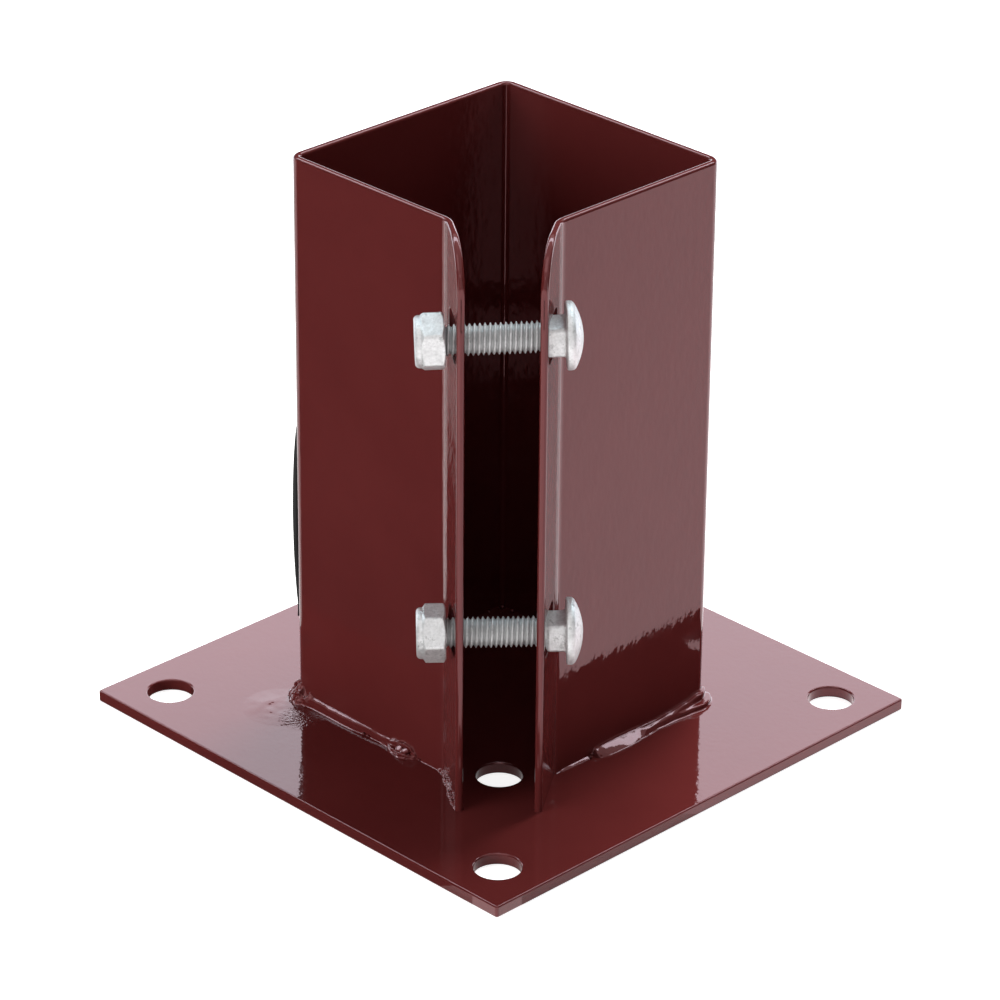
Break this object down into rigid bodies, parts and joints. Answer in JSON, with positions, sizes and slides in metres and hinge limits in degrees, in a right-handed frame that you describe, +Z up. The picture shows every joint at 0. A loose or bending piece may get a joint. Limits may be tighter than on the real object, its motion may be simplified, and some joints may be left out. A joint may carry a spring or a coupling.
{
  "type": "bolt-down timber post base",
  "caption": "Square steel plate with corner anchor holes and a welded, folded post socket whose open corner has two ears drawn together by cup-head bolts and lock nuts.",
  "frame": {"origin": "middle of the base plate's underside", "axes": "+Z up along the post; X and Y along the plate's edges; the socket's open corner with its ears and bolts points to +X and -Y"},
  "size_m": [0.15, 0.15, 0.1562],
  "materials": {
    "oxide_paint": "gloss red-oxide powder coat",
    "zinc_plate": "bright zinc plate, slightly mottled",
    "nylon": "natural nylon",
    "label_film": "plain black film"
  },
  "bodies": {
    "root": {"base_plate": "oxide_paint", "post_socket": "oxide_paint", "weld_front_left": "oxide_paint", "weld_front_right": "oxide_paint", "weld_back_left": "oxide_paint", "weld_back_right": "oxide_paint", "bolt_upper": "zinc_plate", "nut_upper": "zinc_plate", "lock_ring_upper": "nylon", "bolt_lower": "zinc_plate", "nut_lower": "zinc_plate", "lock_ring_lower": "nylon", "label": "label_film"}
  },
  "joints": []
}
